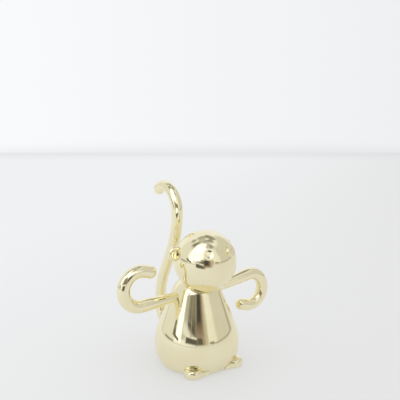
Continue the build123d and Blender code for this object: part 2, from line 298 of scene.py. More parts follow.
@dataclass(frozen=True)
class BlackFelt:
    """Pressed wool felt, matte black with lighter fibres."""

    wool: Colour = (0.018, 0.018, 0.020)
    fibre: Colour = (0.075, 0.075, 0.080)
    fibre_scale: float = 2600.0
    mat_scale: float = 700.0
    nap_height: float = 0.00012
    roughness: float = 0.95
    sheen: float = 0.35
    fibre_span: Span = (0.52, 0.72)

    def make(self) -> Material:
        """Builds the material, whose fibres are bent by a coarser matting.

        Returns:
            The material.
        """
        material, board, place = new_material("black_felt")
        matting = board.noise(place, self.mat_scale, detail=4.0)
        sizes = {"Vector": place, "Scale": self.fibre_scale, "Detail": 3.0, "Distortion": matting}
        curls = board.add("TexNoise", sizes).outputs[0]
        board.coat(curls, self.nap_height, {
            "Base Color": board.mix(board.spread(curls, self.fibre_span), self.wool, self.fibre),
            "Roughness": self.roughness,
            "Sheen Weight": self.sheen,
        })
        return material


@dataclass(frozen=True)
class PaleTable:
    """Plain pale table top of the stage, with painted shade: a little darker on the right and near the
    viewer, and darker at its far edge.

    It shows part of its colour by itself, to the camera and in the metal alone, so that the
    figure's shadow on it is as soft as in the photo and no more light falls on the figure.
    """

    light: Colour = (0.875, 0.885, 0.895)
    # painted shade: the table's colour where the light falls off, on the right and near the viewer
    dim: Colour = (0.785, 0.785, 0.785)
    # painted shade: the darker colour of a band along the table's far edge
    rim: Colour = (0.68, 0.69, 0.71)
    roughness: float = 0.6
    # painted light: the share of the table's colour that it emits as its own glow, for the camera and
    # reflections
    glow_share: float = 0.5
    falloff_shade_slant: float = -0.35
    falloff_shade_span: Span = (-0.30, 0.22)
    far_edge_shade_span: Span = (0.88, 1.07)
    far_edge_shade_share: float = 0.45

    def make(self, heading: float) -> Material:
        """Builds the material.

        Args:
            heading: The camera's heading, which the shading follows.

        Returns:
            The material.
        """
        material, board, place = new_material("pale_table")
        turned = board.add("VectorRotate", {"Vector": place, "Angle": heading}, rotation_type="Z_AXIS")
        across, away, _ = board.add("SeparateXYZ", {0: turned.outputs[0]}).outputs
        # painted shade: darker towards the right and the viewer, and in a band along the far edge
        falloff_shade_mask = board.spread(board.math("MULTIPLY_ADD", away, self.falloff_shade_slant, across), self.falloff_shade_span)
        rim = board.spread(away, self.far_edge_shade_span, high=self.far_edge_shade_share)
        colour = board.mix(rim, board.mix(falloff_shade_mask, self.light, self.dim), self.rim)
        matte = board.add("BsdfPrincipled", {"Base Color": colour, "Roughness": self.roughness})
        # painted light: the table glows with part of its colour, for the camera and in the metal, which
        # lightens the figure's shadow
        plain = board.add("Emission", {"Color": colour})
        path = board.add("LightPath").outputs
        seen = board.math("MAXIMUM", path["Is Camera Ray"], path["Is Glossy Ray"])
        share = board.math("MULTIPLY", seen, self.glow_share)
        board.show(board.blend(share, matte, plain))
        return material


# Modelling


def clear_selection() -> None:
    """Deselects every object, because the CAD nodes come in selected."""
    bpy.ops.object.select_all(action="DESELECT")


def make_only(piece: Piece) -> None:
    """Selects one piece alone and makes it active.

    Args:
        piece: The piece.
    """
    clear_selection()
    piece.select_set(True)
    bpy.context.view_layer.objects.active = piece


def apply_place() -> None:
    """Moves the active piece's place, turn and size into its mesh."""
    bpy.ops.object.transform_apply(location=True, rotation=True, scale=True)


class RingSweep:
    """A ring of edges that is extruded step by step into a skin, in edit mode."""

    def __init__(self, name: str, radius: float, segments: int, place: Matrix) -> None:
        """Adds the first ring and starts editing it.

        Args:
            name: The piece's name.
            radius: Radius of the first ring.
            segments: Edges round the ring.
            place: Where the ring's centre lies and which way its axis points.
        """
        clear_selection()
        bpy.ops.mesh.primitive_circle_add(vertices=segments, radius=radius, fill_type="NOTHING")
        self.piece = bpy.context.active_object
        self.piece.name = name
        self.piece.data.name = name
        self.piece.matrix_world = place
        apply_place()
        self.first_centre = place.translation.copy()
        self.centre = place.translation.copy()
        self.radius = radius
        bpy.ops.object.mode_set(mode="EDIT")
        bpy.ops.mesh.select_mode(type="VERT")
        bpy.ops.mesh.select_all(action="SELECT")

    def step(self, centre: Vector, radius: float) -> None:
        """Extrudes the ring to a new centre and radius, in the same direction.

        Args:
            centre: The new ring's centre.
            radius: The new ring's radius.
        """
        shift = centre - self.centre
        bpy.ops.mesh.extrude_region_move(TRANSFORM_OT_translate={"value": shift})
        ratio = radius / self.radius
        bpy.ops.transform.resize(value=(ratio, ratio, ratio), center_override=centre)
        self.centre = centre.copy()
        self.radius = radius

    def lean(self, angle: float, pivot: Vector) -> None:
        """Turns the last ring about the X direction, right-handed, round a point that stays in place."""
        bpy.ops.transform.rotate(
            value=OPERATOR_TURN * angle, orient_axis="X", orient_type="GLOBAL", center_override=pivot
        )
        self.centre = pivot + Matrix.Rotation(angle, 3, "X") @ (self.centre - pivot)

    def bend(self, pivot: Vector, axis: Vector, angle: float, steps: int) -> None:
        """Spins the last ring, right-handed, round an axis through a pivot, in so many steps."""
        bpy.ops.mesh.spin(
            steps=steps, angle=OPERATOR_TURN * angle, center=pivot, axis=axis, use_auto_merge=False
        )
        self.centre = pivot + Matrix.Rotation(angle, 3, axis) @ (self.centre - pivot)

    def close(self, tip: Vector) -> None:
        """Extrudes the ring once more and draws it together in a point."""
        bpy.ops.mesh.extrude_region_move(TRANSFORM_OT_translate={"value": tip - self.centre})
        bpy.ops.mesh.merge(type="CENTER")

    def close_start(self, tip: Vector) -> None:
        """Draws the first ring together in a point.

        Args:
            tip: The point.
        """
        bpy.ops.mesh.select_all(action="DESELECT")
        bpy.ops.mesh.select_non_manifold(
            extend=False, use_wire=False, use_boundary=True,
            use_multi_face=False, use_non_contiguous=False, use_verts=False,
        )
        self.centre = self.first_centre
        self.close(tip)

    def done(self) -> Piece:
        """Turns the faces outwards and leaves edit mode.

        Returns:
            The piece.
        """
        bpy.ops.mesh.select_all(action="SELECT")
        bpy.ops.mesh.normals_make_consistent(inside=False)
        bpy.ops.object.mode_set(mode="OBJECT")
        return self.piece


def lathe(name: str, profile: list[Row], segments: int) -> Piece:
    """Sweeps a turned form about the Z axis through the origin.

    Args:
        name: The piece's name.
        profile: (radius, height) from one pole to the other, with radius 0 at both ends.
        segments: Edges round the axis.

    Returns:
        The closed piece.
    """
    (_, start_z), *rows, (_, end_z) = profile
    first_r, first_z = rows[0]
    sweep = RingSweep(name, first_r, segments, Matrix.Translation(UP * first_z))
    for radius, z in rows[1:]:
        sweep.step(UP * z, radius)
    sweep.close(UP * end_z)
    sweep.close_start(UP * start_z)
    return sweep.done()


def arc_rows(centre: Row, radius: float, start: float, end: float, steps: int) -> list[Row]:
    """Gives the points of an arc in a turned profile, between two angles above level."""
    angles = [start + (end - start) * i / steps for i in range(steps + 1)]
    return [(centre[0] + radius * math.cos(a), centre[1] + radius * math.sin(a)) for a in angles]


def dish_rows(mouth_r: float, depth: float, steps: int) -> list[Row]:
    """Points of a hollow dish with its mouth at height 0, from its middle outwards.

    Args:
        mouth_r: Radius of the mouth.
        depth: Depth in the middle.
        steps: Spaces between the points.

    Returns:
        The points as (radius, height).
    """
    ball_r = (mouth_r**2 + depth**2) / (2 * depth)
    half = math.asin(mouth_r / ball_r)
    turns = [half * i / steps for i in range(steps + 1)]
    return [(ball_r * math.sin(t), ball_r - depth - ball_r * math.cos(t)) for t in turns]


def set_in_place(piece: Piece, origin: Vector, facing: Vector) -> None:
    """Moves an upright piece to its place in the figure and applies the move.

    Args:
        piece: The piece, modelled about the Z axis.
        origin: Where its origin goes.
        facing: Where its Z axis points.
    """
    turn = facing.to_track_quat("Z", "Y").to_matrix().to_4x4()
    piece.matrix_world = Matrix.Translation(origin) @ turn
    make_only(piece)
    apply_place()


def combine(piece: Piece, other: Piece, how: Combine) -> None:
    """Joins a closed form to a piece, or cuts it away.

    Args:
        piece: The piece to change.
        other: The closed form.
        how: Whether it is joined or cut away.
    """
    make_only(piece)
    step = piece.modifiers.new("combine", "BOOLEAN")
    step.operation = how.value
    step.solver = "EXACT"
    step.object = other
    bpy.ops.object.modifier_apply(modifier=step.name)


def dress(piece: Piece, material: Material, node: str) -> None:
    """Gives a finished piece its material and ties it to the CAD frame.

    Args:
        piece: The finished piece.
        material: Its material.
        node: The CAD node that it stands for.
    """
    make_only(piece)
    bpy.ops.object.shade_smooth_by_angle(angle=SMOOTH_ANGLE)
    piece.data.materials.clear()
    piece.data.materials.append(material)
    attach(piece, ONLY_BODY)
    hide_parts(node)
    piece.data.calc_loop_triangles()
    LOG.info("%s stands for %s, %d triangles", piece.name, node, len(piece.data.loop_triangles))


# The figure


@dataclass(frozen=True)
class BellProfile:
    """Turned outline of the body: rim arc, belly arc, cone and round top."""

    belly_r: float = 0.020
    belly_z: float = 0.0095
    rim_r: float = 0.017
    rim_z: float = 0.0004
    belly_curve_r: float = 0.025
    dome_r: float = 0.0124
    dome_z: float = 0.0304
    rows_per_curve: int = 30
    cutter_segments: int = 128

    @property
    def rim_curve_r(self) -> float:
        """Radius of the arc from the rim up to the belly."""
        tuck, drop = self.belly_r - self.rim_r, self.belly_z - self.rim_z
        return (tuck**2 + drop**2) / (2 * tuck)

    @property
    def cone_angle(self) -> float:
        """Angle at which the belly meets the cone and the cone meets the round top.

        Returns:
            The angle above level.
        """
        across, rise = self.belly_curve_r - self.belly_r, self.dome_z - self.belly_z
        reach = math.hypot(across, rise)
        return math.atan2(rise, across) - math.acos((self.belly_curve_r - self.dome_r) / reach)

    @property
    def dome_centre(self) -> Vector:
        """Centre of the round top."""
        return UP * self.dome_z

    def rim_arc(self, grow: float) -> list[Row]:
        """Gives the skin from the rim up to the widest place.

        Args:
            grow: How far the skin is moved outwards.

        Returns:
            The rows.
        """
        curve_r = self.rim_curve_r + grow
        low = -math.asin((self.belly_z - self.rim_z) / curve_r)
        middle = (self.belly_r - self.rim_curve_r, self.belly_z)
        return arc_rows(middle, curve_r, low, 0.0, self.rows_per_curve)

    def belly_arc(self, grow: float) -> list[Row]:
        """Rows from the widest place up to the cone, with the skin moved outwards."""
        middle = (self.belly_r - self.belly_curve_r, self.belly_z)
        return arc_rows(middle, self.belly_curve_r + grow, 0.0, self.cone_angle, self.rows_per_curve)

    def cone(self, grow: float) -> list[Row]:
        """Gives the skin up the cone to the round top.

        Args:
            grow: How far the skin is moved outwards.

        Returns:
            The rows.
        """
        (r0, z0), (r1, z1) = self.belly_arc(grow)[-1], self.dome_arc(grow)[0]
        count = self.rows_per_curve // 2
        return [(r0 + (r1 - r0) * i / count, z0 + (z1 - z0) * i / count) for i in range(1, count)]

    def dome_arc(self, grow: float) -> list[Row]:
        """Rows over the round top to its pole, with the skin moved outwards."""
        middle = (0.0, self.dome_z)
        return arc_rows(middle, self.dome_r + grow, self.cone_angle, QUARTER, self.rows_per_curve)

    def outside(self, grow: float) -> list[Row]:
        """Rows of the skin from the rim up to the round top, with the skin moved outwards."""
        return self.rim_arc(grow)[:-1] + self.belly_arc(grow) + self.cone(grow) + self.dome_arc(grow)[:1]

    def skin_radius(self, z: float) -> float:
        """Outer radius at a height below the widest place."""
        return self.belly_r - self.rim_curve_r + math.sqrt(self.rim_curve_r**2 - (z - self.belly_z) ** 2)

    def make_cutter(self) -> Piece:
        """Models the whole solid bell, a little grown, to trim what stands against the body.

        Returns:
            The cutter, which is removed before the end.
        """
        rows = self.outside(FIT_GAP) + self.dome_arc(FIT_GAP)[1:-1]
        top = (0.0, self.dome_z + self.dome_r + FIT_GAP)
        return lathe("bell_cutter", [(0.0, self.rim_z), *rows, top], self.cutter_segments)


@dataclass(frozen=True)
class HeadSeat:
    """Flat seat cut through the body's round top, tilted forward, and the ball that stands on it."""

    bell: BellProfile
    tilt: float = math.radians(19.0)
    seat_r: float = 0.0083
    edge_round: float = 0.0005
    head_r: float = 0.01425
    head_sink: float = 0.00243

    @property
    def axis(self) -> Vector:
        """Direction from the body into the head."""
        return Vector((0.0, -math.sin(self.tilt), math.cos(self.tilt)))

    @property
    def rise(self) -> float:
        """Height of the seat over the centre of the round top, along the axis."""
        return math.sqrt(self.bell.dome_r**2 - self.seat_r**2)

    @property
    def middle(self) -> Vector:
        """Middle of the seat."""
        return self.bell.dome_centre + self.axis * self.rise

    @property
    def flat_r(self) -> float:
        """Radius of the seat's flat, inside its rounded edge."""
        return math.sqrt((self.bell.dome_r - self.edge_round) ** 2 - (self.rise - self.edge_round) ** 2)

    @property
    def head_centre(self) -> Vector:
        """Centre of the ball head."""
        return self.middle + self.axis * (self.head_r - self.head_sink)


@dataclass
class BodyShell:
    """Hollow bell with a tilted seat for the head and a rebate for the base plate."""

    seat: HeadSeat
    wall: float = 0.002
    ceiling_z: float = 0.026
    plate_r: float = 0.01525
    plate_top: float = 0.003
    rim_round: float = 0.00025
    rim_lift: float = math.radians(-18.0)
    segments: int = 192
    rim_steps: int = 5
    lean_steps: int = 26
    round_steps: int = 8
    seat_rings: tuple[float, ...] = (0.97, 0.6, 0.25)

    def inside_rows(self) -> list[Row]:
        """Gives the inside from the middle of the cavity's ceiling down to the rim's outer corner.

        Returns:
            The rows.
        """
        bell = self.seat.bell
        inner = [(r, z) for r, z in bell.outside(-self.wall) if self.plate_top < z < self.ceiling_z]
        floor_r, ceiling_r = inner[0][0], inner[-1][0]
        rows = [(ceiling_r / 4, self.ceiling_z), (ceiling_r, self.ceiling_z), *reversed(inner)]
        rows += [(floor_r, self.plate_top), (self.plate_r, self.plate_top), (self.plate_r, bell.rim_z)]
        corner = (bell.rim_r - self.rim_round, bell.rim_z + self.rim_round)
        return rows + arc_rows(corner, self.rim_round, -QUARTER, self.rim_lift, self.rim_steps)

    def build(self) -> Piece:
        """Models the shell.

        Returns:
            The shell.
        """
        bell = self.seat.bell
        inside = self.inside_rows()
        outside = [(r, z) for r, z in bell.outside(0.0) if z > bell.rim_z + self.rim_round]
        first_r, first_z = inside[0]
        sweep = RingSweep("body_bell", first_r, self.segments, Matrix.Translation(UP * first_z))
        for radius, z in inside[1:] + outside:
            sweep.step(UP * z, radius)
        self.lean_over(sweep)
        self.round_seat(sweep)
        sweep.close_start(UP * self.ceiling_z)
        return sweep.done()

    def lean_over(self, sweep: RingSweep) -> None:
        """Takes the rings over the round top while they lean forward to the seat.

        Args:
            sweep: The sweep, whose last ring is where the cone meets the round top.
        """
        bell, seat = self.seat.bell, self.seat
        start = QUARTER - bell.cone_angle
        end = math.atan2(seat.flat_r, seat.rise - seat.edge_round)
        for i in range(1, self.lean_steps + 1):
            polar = start + (end - start) * i / self.lean_steps
            lean = seat.tilt * (i - 1) / self.lean_steps
            axis = Vector((0.0, -math.sin(lean), math.cos(lean)))
            centre = bell.dome_centre + axis * bell.dome_r * math.cos(polar)
            sweep.step(centre, bell.dome_r * math.sin(polar))
            sweep.lean(seat.tilt / self.lean_steps, bell.dome_centre)

    def round_seat(self, sweep: RingSweep) -> None:
        """Rounds the seat's edge and closes the seat.

        Args:
            sweep: The sweep, whose last ring is where the rounded edge starts.
        """
        seat = self.seat
        middle = (seat.flat_r, seat.rise - seat.edge_round)
        start = math.atan2(middle[1], middle[0])
        rows = arc_rows(middle, seat.edge_round, start, QUARTER, self.round_steps)
        rows += [(seat.flat_r * share, seat.rise) for share in self.seat_rings]
        for radius, rise in rows[1:]:
            sweep.step(seat.bell.dome_centre + seat.axis * rise, radius)
        sweep.close(seat.middle)


@dataclass
class Head:
    """Ball head with a flat facet on the seat, two dished eyes and two dished ears."""

    seat: HeadSeat
    segments: int = 192
    rows: int = 110
    eye_azimuth: float = math.radians(27.0)
    eye_elevation: float = math.radians(26.0)
    eye_r: float = 0.0027
    eye_rise: float = 0.00075
    eye_sink: float = 0.0008
    eye_round: float = 0.0003
    eye_land: float = 0.0005
    eye_dish_depth: float = 0.0004
    ear_elevation: float = math.radians(18.7)
    ear_proud: float = 0.0001
    ear_back: float = 0.00275
    ear_r: float = 0.0034
    ear_t: float = 0.0024
    ear_edge: float = 0.0006
    ear_land: float = 0.0001
    ear_dish_depth: float = 0.00055
    small_segments: int = 96
    eye_dish_steps: int = 14
    eye_edge_steps: int = 8
    ear_dish_steps: int = 18
    ear_edge_steps: int = 10

    def build_ball(self) -> Piece:
        """Models the ball with its flat facet.

        Returns:
            The ball.
        """
        radius = self.seat.head_r
        facet_z = self.seat.head_sink - radius
        low = math.asin(facet_z / radius)
        skin = arc_rows((0.0, 0.0), radius, low, QUARTER, self.rows)[:-1]
        facet_r = skin[0][0]
        profile = [(0.0, facet_z), (facet_r / 2, facet_z), *skin, (0.0, radius)]
        ball = lathe("head_ball", profile, self.segments)
        set_in_place(ball, self.seat.head_centre, self.seat.axis)
        return ball

    def build_eye(self, side: Side) -> Piece:
        """Models one eye button, pressed into the ball.

        Args:
            side: The monkey's side.

        Returns:
            The eye.
        """
        dish_r = self.eye_r - self.eye_round - self.eye_land
        floor_z = -self.eye_rise - self.eye_sink
        rows = dish_rows(dish_r, self.eye_dish_depth, self.eye_dish_steps)
        corner = (self.eye_r - self.eye_round, -self.eye_round)
        edge = arc_rows(corner, self.eye_round, QUARTER, 0.0, self.eye_edge_steps)
        skin = rows[1:] + edge + [(self.eye_r, floor_z), (self.eye_r / 2, floor_z)]
        profile = [rows[0], *skin, (0.0, floor_z)]
        eye = lathe(f"{side.label}_eye_button", profile, self.small_segments)
        level = math.cos(self.eye_elevation)
        facing = Vector((
            side.value * math.sin(self.eye_azimuth) * level,
            -math.cos(self.eye_azimuth) * level,
            math.sin(self.eye_elevation),
        ))
        set_in_place(eye, self.seat.head_centre + facing * (self.seat.head_r + self.eye_rise), facing)
        return eye

    def build_ear(self, side: Side, ball: Piece) -> Piece:
        """Models one ear disc, trimmed to the ball.

        Args:
            side: The monkey's side.
            ball: A ball a little larger than the head, which is cut away.

        Returns:
            The ear.
        """
        edge_r = (self.ear_t - self.ear_edge) / 2
        ring_r = self.ear_r - edge_r
        rows = dish_rows(ring_r - self.ear_land, self.ear_dish_depth, self.ear_dish_steps)
        front = arc_rows((ring_r, -edge_r), edge_r, QUARTER, 0.0, self.ear_edge_steps)
        back = arc_rows((ring_r, edge_r - self.ear_t), edge_r, 0.0, -QUARTER, self.ear_edge_steps)
        skin = rows[1:] + front + back + [(ring_r / 2, -self.ear_t)]
        profile = [rows[0], *skin, (0.0, -self.ear_t)]
        ear = lathe(f"{side.label}_ear_disc", profile, self.small_segments)
        out = self.seat.head_r + self.ear_proud
        shift = Vector((
            side.value * math.cos(self.ear_elevation) * out,
            self.ear_back,
            math.sin(self.ear_elevation) * out,
        ))
        set_in_place(ear, self.seat.head_centre + shift, Vector((0.0, -1.0, 0.0)))
        combine(ear, ball, Combine.CUT)
        return ear

    def make_cutter(self) -> Piece:
        """Models a ball a little larger than the head, to trim the ears.

        Returns:
            The cutter, which is removed before the end.
        """
        radius = self.seat.head_r + FIT_GAP
        skin = arc_rows((0.0, 0.0), radius, -QUARTER, QUARTER, self.rows)[1:-1]
        cutter = lathe("head_cutter", [(0.0, -radius), *skin, (0.0, radius)], self.segments)
        set_in_place(cutter, self.seat.head_centre, UP)
        return cutter


ROD_END_STEPS = 14
SHORT_RUN_STEPS = 4


class BentRod:
    """A round rod that is led along runs and bends in one upright plane."""

    def __init__(
        self, name: str, start: Vector, out: Vector, climb: float, radius: float, segments: int
    ) -> None:
        """Adds the rod's first ring.

        Args:
            name: The piece's name.
            start: Middle of the first ring.
            out: Level direction of the plane.
            climb: Angle of the first run above level.
            radius: The rod's radius there.
            segments: Edges round the rod.
        """
        self.out = out
        self.climb = climb
        self.radius = radius
        turn = self.heading.to_track_quat("Z", "Y").to_matrix().to_4x4()
        self.sweep = RingSweep(name, radius, segments, Matrix.Translation(start) @ turn)
        self.start = start

    @property
    def heading(self) -> Vector:
        """Direction of the rod at its end."""
        return self.out * math.cos(self.climb) + UP * math.sin(self.climb)

    @property
    def upwards(self) -> Vector:
        """Direction square to the rod, in its plane and on the upper side."""
        return UP * math.cos(self.climb) - self.out * math.sin(self.climb)

    def run(self, length: float, radius: float, steps: int) -> None:
        """Leads the rod straight on, with an eased change of radius.

        Args:
            length: Length of the run.
            radius: The rod's radius at its end.
            steps: Rings to make.
        """
        start, first_r = self.sweep.centre.copy(), self.radius
        for i in range(1, steps + 1):
            share = i / steps
            eased = share * share * (3.0 - 2.0 * share)
            self.sweep.step(start + self.heading * length * share, first_r + (radius - first_r) * eased)
        self.radius = radius

    def bend(self, bend_r: float, turn: float, steps: int) -> None:
        """Leads the rod round a bend.

        Args:
            bend_r: Radius of the bend at the rod's middle.
            turn: Angle, above 0 to curl up.
            steps: Rings to make.
        """
        inwards = self.upwards if turn > 0 else -self.upwards
        self.sweep.bend(self.sweep.centre + inwards * bend_r, self.out.cross(UP), turn, steps)
        self.climb += turn

    def finish(self) -> Piece:
        """Rounds off the rod's end and closes its start.

        Returns:
            The rod.
        """
        end, heading = self.sweep.centre.copy(), self.heading
        for i in range(1, ROD_END_STEPS):
            angle = QUARTER * i / ROD_END_STEPS
            self.sweep.step(end + heading * self.radius * math.sin(angle), self.radius * math.cos(angle))
        self.sweep.close(end + heading * self.radius)
        self.sweep.close_start(self.start)
        return self.sweep.done()


@dataclass
class Arm:
    """Tapered upper arm that runs into a round hook with a short straight tip."""

    side: Side
    curl: Curl
    bell: BellProfile
    hook_reach: float
    hook_rise: float
    shoulder_rise: float = 0.0031
    shoulder_sink: float = 0.002
    upper_r: float = 0.00215
    hook_rod_r: float = 0.00295
    hook_r: float = 0.008
    overturn: float = math.radians(15.0)
    tip_l: float = 0.0032
    segments: int = 72
    upper_steps: int = 28
    hook_steps: int = 84

    def build(self, cutter: Piece) -> Piece:
        """Models the arm, trimmed to the body.

        Args:
            cutter: The form of the body.

        Returns:
            The arm.
        """
        shoulder_x = math.sqrt(self.bell.dome_r**2 - self.shoulder_rise**2) - self.shoulder_sink
        start = Vector((self.side.value * shoulder_x, 0.0, self.bell.dome_z + self.shoulder_rise))
        reach = math.hypot(self.hook_reach, self.hook_rise)
        curl = self.curl.value
        climb = math.atan2(self.hook_rise, self.hook_reach) - curl * math.asin(self.hook_r / reach)
        out = Vector((float(self.side.value), 0.0, 0.0))
        rod = BentRod(f"{self.side.label}_arm_hook", start, out, climb, self.upper_r, self.segments)
        rod.run(math.sqrt(reach**2 - self.hook_r**2), self.hook_rod_r, self.upper_steps)
        rod.bend(self.hook_r, curl * (math.radians(180.0) + self.overturn) - climb, self.hook_steps)
        rod.run(self.tip_l, self.hook_rod_r, SHORT_RUN_STEPS)
        arm = rod.finish()
        combine(arm, cutter, Combine.CUT)
        return arm


@dataclass
class Tail:
    """Bent rod from the low back of the body up to a hook behind the head."""

    bell: BellProfile
    rod_r: float = 0.00275
    root_z: float = 0.0063
    root_l: float = 0.00155
    root_bend_r: float = 0.013
    low_bend_r: float = 0.034
    lean: float = math.radians(29.0)
    straight_l: float = 0.0165
    high_bend_r: float = 0.038
    hook_r: float = 0.012
    hook_turn: float = QUARTER
    tip_bend_r: float = 0.006
    tip_turn: float = math.radians(55.0)
    segments: int = 72
    straight_steps: int = 12
    slow_bend_steps: int = 26
    tip_steps: int = 30
    quarter_steps: int = 44

    def build(self, cutter: Piece) -> Piece:
        """Models the tail, trimmed to the body.

        Args:
            cutter: The form of the body.

        Returns:
            The tail.
        """
        start = Vector((0.0, self.bell.skin_radius(self.root_z) - self.rod_r, self.root_z))
        rod = BentRod("tail_rod", start, Vector((0.0, 1.0, 0.0)), 0.0, self.rod_r, self.segments)
        rod.run(self.rod_r + self.root_l, self.rod_r, SHORT_RUN_STEPS)
        rod.bend(self.root_bend_r, QUARTER, self.quarter_steps)
        rod.bend(self.low_bend_r, self.lean, self.slow_bend_steps)
        rod.run(self.straight_l, self.rod_r, self.straight_steps)
        rod.bend(self.high_bend_r, -self.lean, self.slow_bend_steps)
        rod.bend(self.hook_r, -self.hook_turn, self.quarter_steps)
        rod.bend(self.tip_bend_r, -self.tip_turn, self.tip_steps)
        tail = rod.finish()
        combine(tail, cutter, Combine.CUT)
        return tail


@dataclass
class Foot:
    """Low foot cast in one: a broad round heel, a big toe on its inner side and a web between them."""

    side: Side
    bell: BellProfile
    angle: float = math.radians(38.5)
    proud: float = 0.0009
    heel_r: float = 0.0043
    heel_h: float = 0.0043
    heel_crown_r: float = 0.009
    heel_round: float = 0.0017
    toe_heading: float = math.radians(19.0)
    toe_step: float = 0.00575
    toe_r: float = 0.0019
    toe_h: float = 0.0031
    toe_crown_r: float = 0.003
    toe_round: float = 0.0009
    web_inset: float = 0.0003
    web_h: float = 0.0024
    web_round: float = 0.0008
    flat_angle: float = math.radians(0.5)
    level_normal: float = 0.99
    grain: float = 0.00011
    flow: int = 14
    flow_share: float = 0.5
    segments: int = 96
    lump_steps: int = 10
    web_steps: int = 8

    def build(self, cutter: Piece) -> Piece:
        """Models the foot, trimmed to the body.

        Args:
            cutter: The form of the body.

        Returns:
            The foot.
        """
        sign = self.side.value
        out = Vector((sign * math.sin(self.angle), -math.cos(self.angle), 0.0))
        heel = out * (self.bell.rim_r + self.proud) + UP * self.bell.rim_z
        inwards = Vector((-sign * math.cos(self.toe_heading), -math.sin(self.toe_heading), 0.0))
        toe = heel + inwards * self.toe_step
        foot = self.build_web(heel, toe)
        for name, place, size in (
            ("heel", heel, (self.heel_r, self.heel_h, self.heel_crown_r, self.heel_round)),
            ("toe", toe, (self.toe_r, self.toe_h, self.toe_crown_r, self.toe_round)),
        ):
            lump = self.build_lump(name, place, *size)
            combine(foot, lump, Combine.JOIN)
            bpy.data.meshes.remove(lump.data)
        self.flow_together(foot)
        combine(foot, cutter, Combine.CUT)
        return foot

    def build_lump(
        self, name: str, place: Vector, radius: float, top: float, crown_r: float, edge_round: float
    ) -> Piece:
        """Models a round lump with a crowned top and a rounded edge.

        Args:
            name: The lump's name.
            place: Middle of its lower face.
            radius: Its radius.
            top: Height of its crown over the standing face.
            crown_r: Radius of the crown.
            edge_round: Radius of the rounded edge.

        Returns:
            The lump.
        """
        height, ring_r = top - self.bell.rim_z, radius - edge_round
        crown_z = height - crown_r
        ring_z = crown_z + math.sqrt((crown_r - edge_round) ** 2 - ring_r**2)
        shoulder = math.atan2(ring_z - crown_z, ring_r)
        edge = arc_rows((ring_r, ring_z), edge_round, 0.0, shoulder, self.lump_steps)
        crown = arc_rows((0.0, crown_z), crown_r, shoulder, QUARTER, self.lump_steps)[1:-1]
        rows = [(radius / 2, 0.0), (radius, 0.0), *edge, *crown]
        lump = lathe(name, [(0.0, 0.0), *rows, (0.0, height)], self.segments)
        set_in_place(lump, place, UP)
        return lump

    def build_web(self, heel: Vector, toe: Vector) -> Piece:
        """Models the low web as the hull of two discs.

        Args:
            heel: Middle of the heel's lower face.
            toe: Middle of the toe's lower face.

        Returns:
            The web.
        """
        depth = self.web_h - self.bell.rim_z
        lift = UP * depth / 2
        clear_selection()
        bpy.ops.mesh.primitive_cylinder_add(
            vertices=self.segments, radius=self.heel_r - self.web_inset, depth=depth, location=heel + lift
        )
        web = bpy.context.active_object
        web.name = f"{self.side.label}_foot_block"
        web.data.name = web.name
        apply_place()
        bpy.ops.object.mode_set(mode="EDIT")
        bpy.ops.mesh.primitive_cylinder_add(
            vertices=self.segments, radius=self.toe_r - self.web_inset, depth=depth, location=toe + lift
        )
        bpy.ops.mesh.select_all(action="SELECT")
        bpy.ops.mesh.convex_hull()
        bpy.ops.mesh.select_all(action="SELECT")
        bpy.ops.mesh.dissolve_limited(angle_limit=self.flat_angle)
        bpy.ops.mesh.select_mode(type="FACE")
        bpy.ops.mesh.select_all(action="DESELECT")
        bpy.ops.object.mode_set(mode="OBJECT")
        for face in web.data.polygons:
            face.select = face.normal.z > self.level_normal
        bpy.ops.object.mode_set(mode="EDIT")
        bpy.ops.mesh.bevel(
            offset=self.web_round, segments=self.web_steps, affect="EDGES", clamp_overlap=False
        )
        bpy.ops.mesh.select_all(action="SELECT")
        bpy.ops.mesh.normals_make_consistent(inside=False)
        bpy.ops.object.mode_set(mode="OBJECT")
        return web

    def flow_together(self, foot: Piece) -> None:
        """Lets the lumps and the web flow into each other, as in a casting.

        Args:
            foot: The merged foot.
        """
        make_only(foot)
        skin = foot.modifiers.new("skin", "REMESH")
        skin.mode = "VOXEL"
        skin.voxel_size = self.grain
        bpy.ops.object.modifier_apply(modifier=skin.name)
        soften = foot.modifiers.new("soften", "SMOOTH")
        soften.factor = self.flow_share
        soften.iterations = self.flow
        bpy.ops.object.modifier_apply(modifier=soften.name)


@dataclass
class BasePad:
    """Felt disc glued under the base plate, with soft edges."""

    radius: float = 0.0138
    thickness: float = 0.001
    edge_round: float = 0.00035
    rings: tuple[float, ...] = (0.3, 0.6, 0.9)
    edge_steps: int = 6
    segments: int = 128

    def build(self) -> Piece:
        """Models the pad.

        Returns:
            The pad.
        """
        ring_r = self.radius - self.edge_round
        low, high = self.edge_round, self.thickness - self.edge_round
        rows = [(ring_r * share, 0.0) for share in self.rings]
        rows += arc_rows((ring_r, low), self.edge_round, -QUARTER, 0.0, self.edge_steps)
        rows += arc_rows((ring_r, high), self.edge_round, 0.0, QUARTER, self.edge_steps)
        rows += [(ring_r * share, self.thickness) for share in reversed(self.rings)]
        return lathe("base_felt", [(0.0, 0.0), *rows, (0.0, self.thickness)], self.segments)


@dataclass
class Hardware:
    """CAD nodes that keep their shapes and get a better finish."""

    zinc_nodes: tuple[str, ...] = ("tail_nut", "base_screws", "head_washer", "head_screw")
    plate_nodes: tuple[str, ...] = ("base_plate",)

    def dress(self) -> None:
        """Gives the fasteners and the plate their materials."""
        zinc, brushed = ZincSteel().make(), BrushedSteel().make()
        for nodes, material, slot in (
            (self.zinc_nodes, zinc, Slot.FASTENER), (self.plate_nodes, brushed, Slot.PLATE)
        ):
            for node in nodes:
                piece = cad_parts[node]
                for material_slot in piece.material_slots:
                    material_slot.material = material
                LOG.info("%s keeps its CAD shape in %s", node, material.name)


# Stage, light and camera


